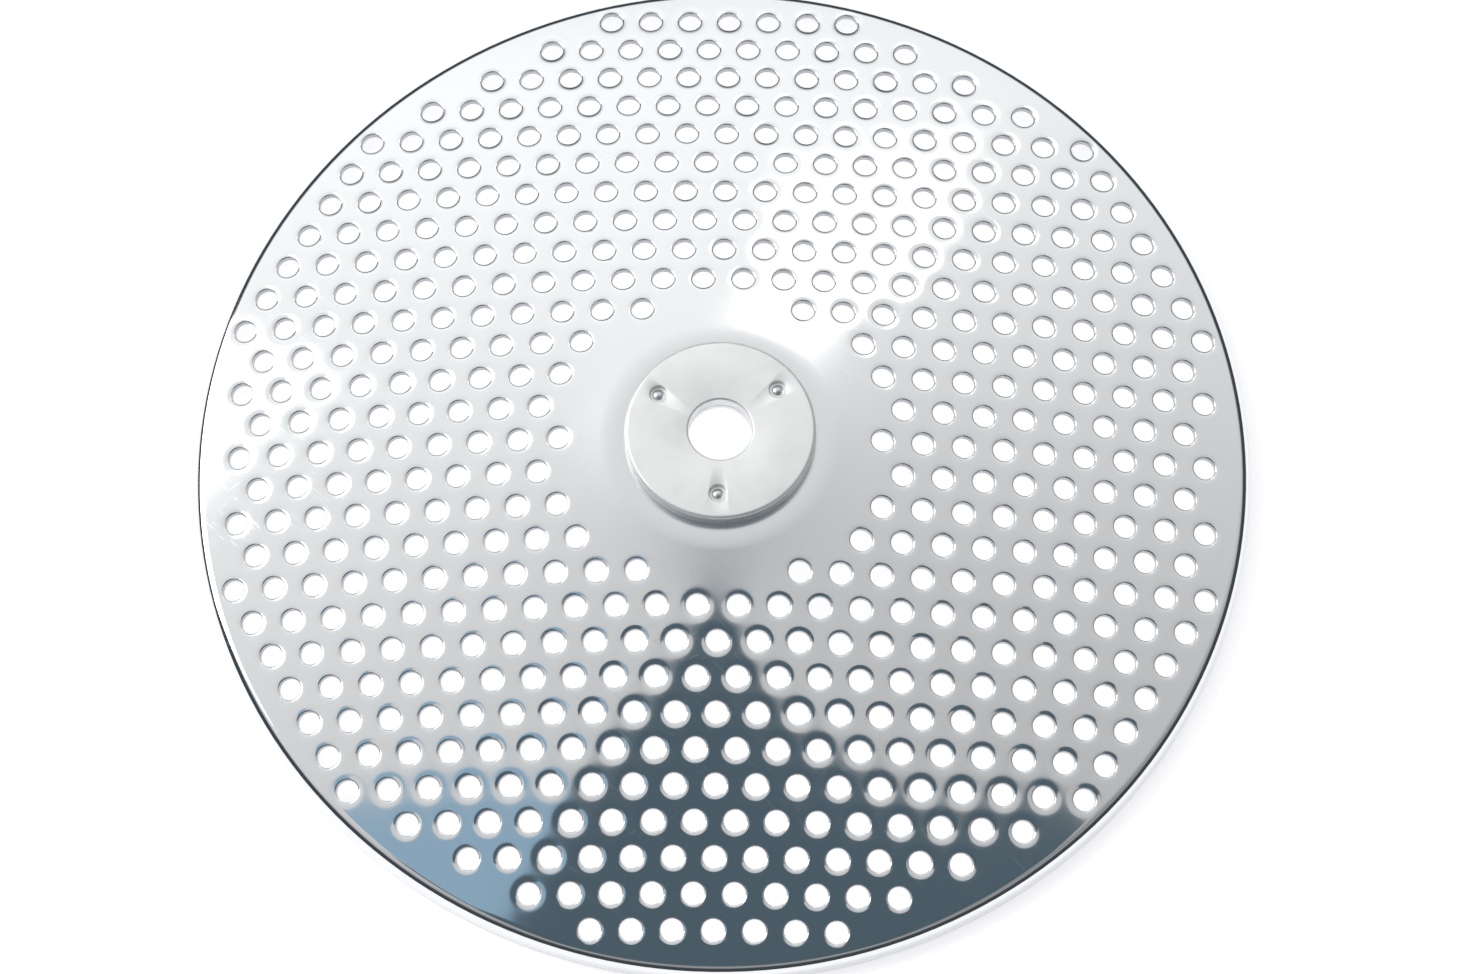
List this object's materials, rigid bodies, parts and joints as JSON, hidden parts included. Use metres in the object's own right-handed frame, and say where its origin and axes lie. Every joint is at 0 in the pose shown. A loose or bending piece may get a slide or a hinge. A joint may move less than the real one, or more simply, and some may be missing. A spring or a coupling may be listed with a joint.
{
  "type": "food mill sieve disc",
  "caption": "Round perforated sheet disc of shallow conical form with a turned-down rim and a riveted round hub plate with a central bore, for pressing food through in a hand mill.",
  "frame": {"origin": "on the disc's axis, in the plane that the rim's lower edge stands on", "axes": "+Z along the disc's axis towards the hub plate; rows of holes run along X; +Y away from the front rivet"},
  "size_m": [0.14, 0.14, 0.017],
  "materials": {
    "polished_sheet": "near-mirror polished stainless steel with fine wiping marks",
    "satin_plate": "satin tumbled stainless steel with light scuffs",
    "rivet_steel": "satin stainless steel, upset ends"
  },
  "bodies": {
    "root": {"sieve_plate": "polished_sheet", "hub_plate": "satin_plate", "rivets": "rivet_steel"}
  },
  "joints": []
}
